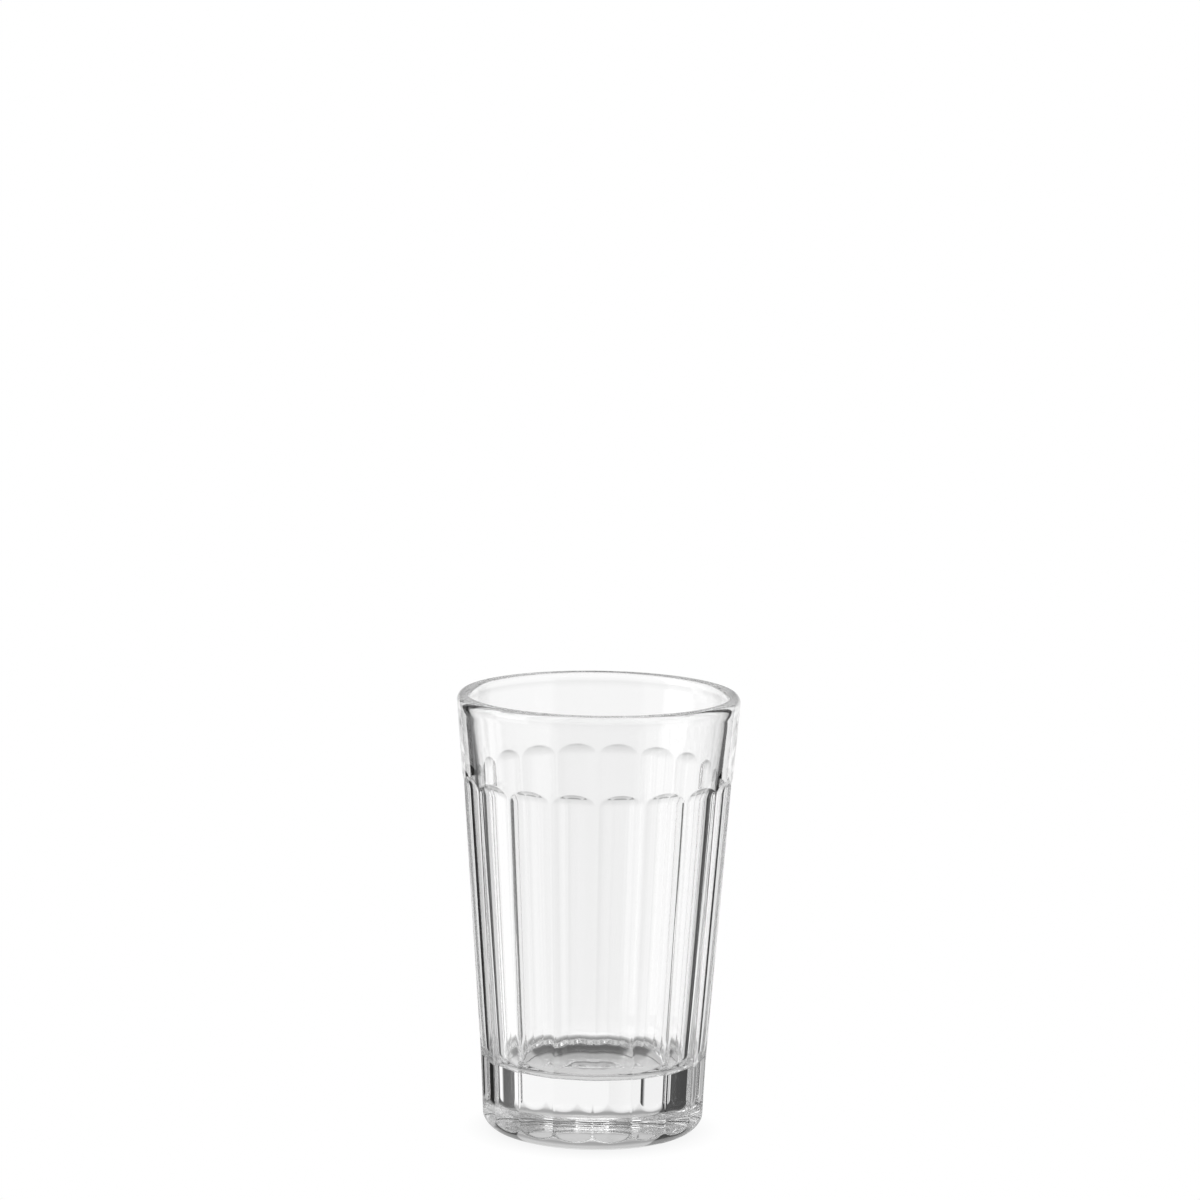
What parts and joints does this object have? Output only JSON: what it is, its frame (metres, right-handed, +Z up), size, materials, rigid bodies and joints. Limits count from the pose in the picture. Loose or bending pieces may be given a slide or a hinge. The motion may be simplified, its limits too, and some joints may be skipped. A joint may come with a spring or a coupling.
{
  "type": "espresso glass",
  "caption": "Small tapered drinking glass of clear pressed glass, with a plain band under its rounded rim, a fluted wall and a thick solid foot, for serving espresso.",
  "frame": {"origin": "middle of the underside, at the level that the glass stands on", "axes": "+Z up along the glass's axis; -Y towards the picture's viewer, where a ridge between two flutes faces"},
  "size_m": [0.0548, 0.0548, 0.086],
  "materials": {
    "clear_glass": "clear, colourless and fire-polished"
  },
  "bodies": {
    "root": {"glass_body": "clear_glass"}
  },
  "joints": []
}
